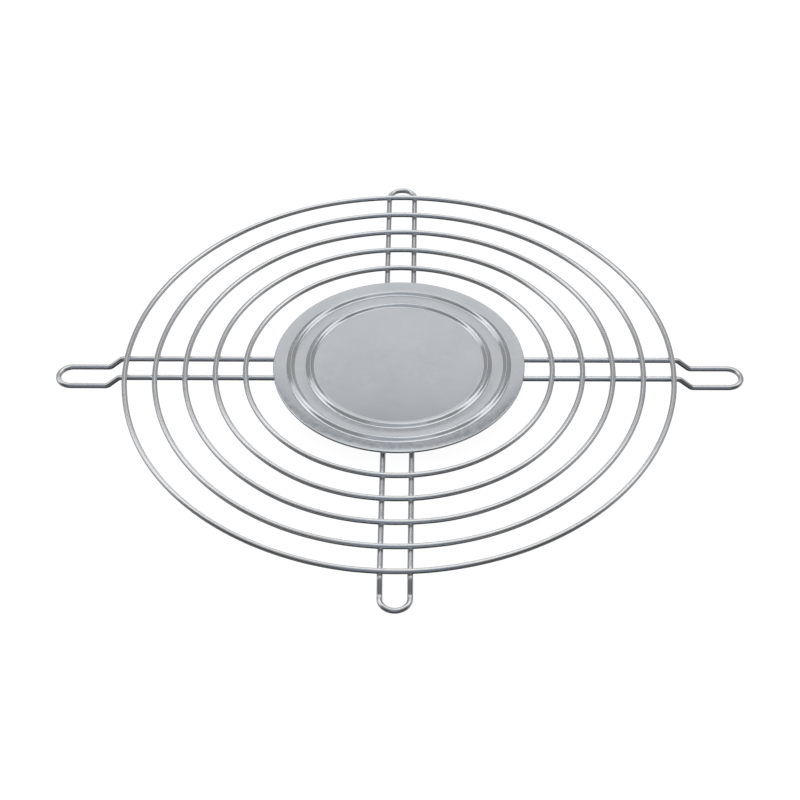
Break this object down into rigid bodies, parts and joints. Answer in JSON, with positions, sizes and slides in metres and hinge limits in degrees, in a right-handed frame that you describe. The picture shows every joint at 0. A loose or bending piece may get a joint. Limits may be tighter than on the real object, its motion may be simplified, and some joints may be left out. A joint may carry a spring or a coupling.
{
  "type": "wire fan guard",
  "caption": "Round wire fan guard: concentric welded wire rings on four stepped hairpin arms that end in screw loops, with a stamped disc over the fan hub.",
  "frame": {"origin": "centre of the guard on its mounting plane, the undersides of the four screw loops", "axes": "+Z points away from the fan, from the arms towards the rings and the disc; X runs along the two long arms, Y along the two short ones"},
  "size_m": [0.2752, 0.2464, 0.0096],
  "materials": {
    "ring_wire": "bright plated drawn steel wire",
    "arm_wire": "bright plated drawn steel wire",
    "disc": "bright plated pressed steel sheet"
  },
  "bodies": {
    "root": {"centre_disc": "disc", "ring_1": "ring_wire", "ring_2": "ring_wire", "ring_3": "ring_wire", "ring_4": "ring_wire", "ring_5": "ring_wire", "ring_6": "ring_wire", "arm_east": "arm_wire", "arm_north": "arm_wire", "arm_west": "arm_wire", "arm_south": "arm_wire"}
  },
  "joints": []
}
